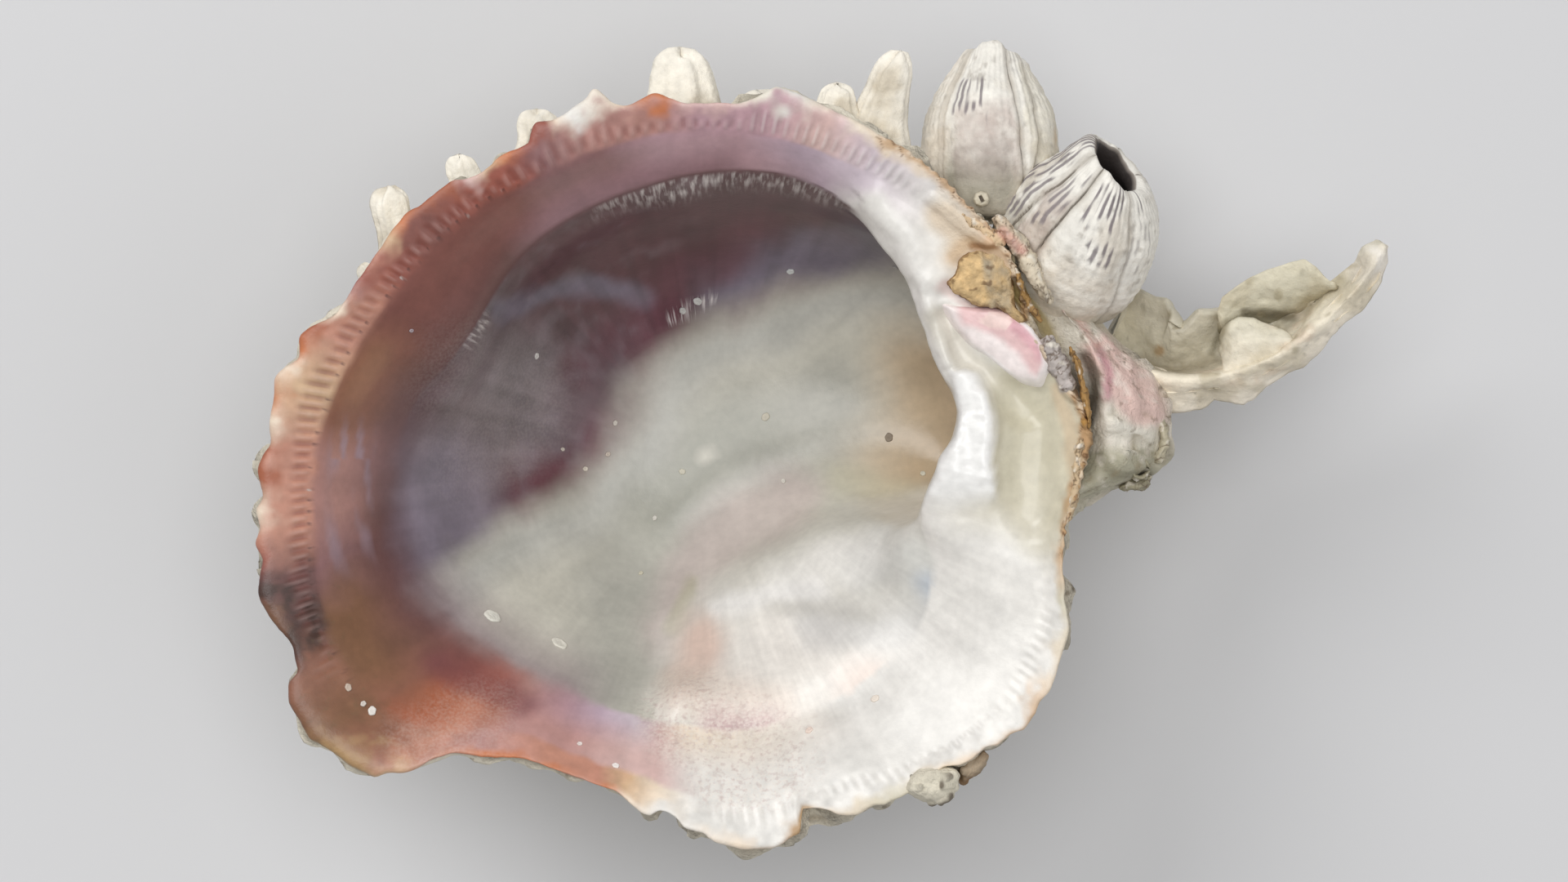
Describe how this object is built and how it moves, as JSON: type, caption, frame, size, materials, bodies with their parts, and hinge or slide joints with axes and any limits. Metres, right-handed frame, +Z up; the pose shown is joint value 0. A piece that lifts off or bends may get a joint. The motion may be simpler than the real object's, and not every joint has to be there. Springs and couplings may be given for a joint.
{
  "type": "spiny oyster shell",
  "caption": "Deep cemented shell valve with a toothed margin, hinge, beak, tongue spines and a leafy frond; barnacles grow on it and it rests on its flat scar, cup up.",
  "frame": {"origin": "middle of the flat attachment scar that the valve rests on", "axes": "+Z up out of the cup, +X from the cup to the beak and frond, +Y to the barnacles' side"},
  "size_m": [0.1457, 0.1053, 0.05],
  "materials": {
    "shell": "porcelain-like inside, chalky and worn outside",
    "barnacle": "chalky, matt",
    "dry_ligament": "dry, matt",
    "crust": "rough, matt"
  },
  "bodies": {
    "root": {"valve": "shell", "barnacle_tall": "barnacle", "barnacle_open": "barnacle", "barnacle_spat": "barnacle", "ligament": "dry_ligament", "edge_crust": "crust"}
  },
  "joints": []
}
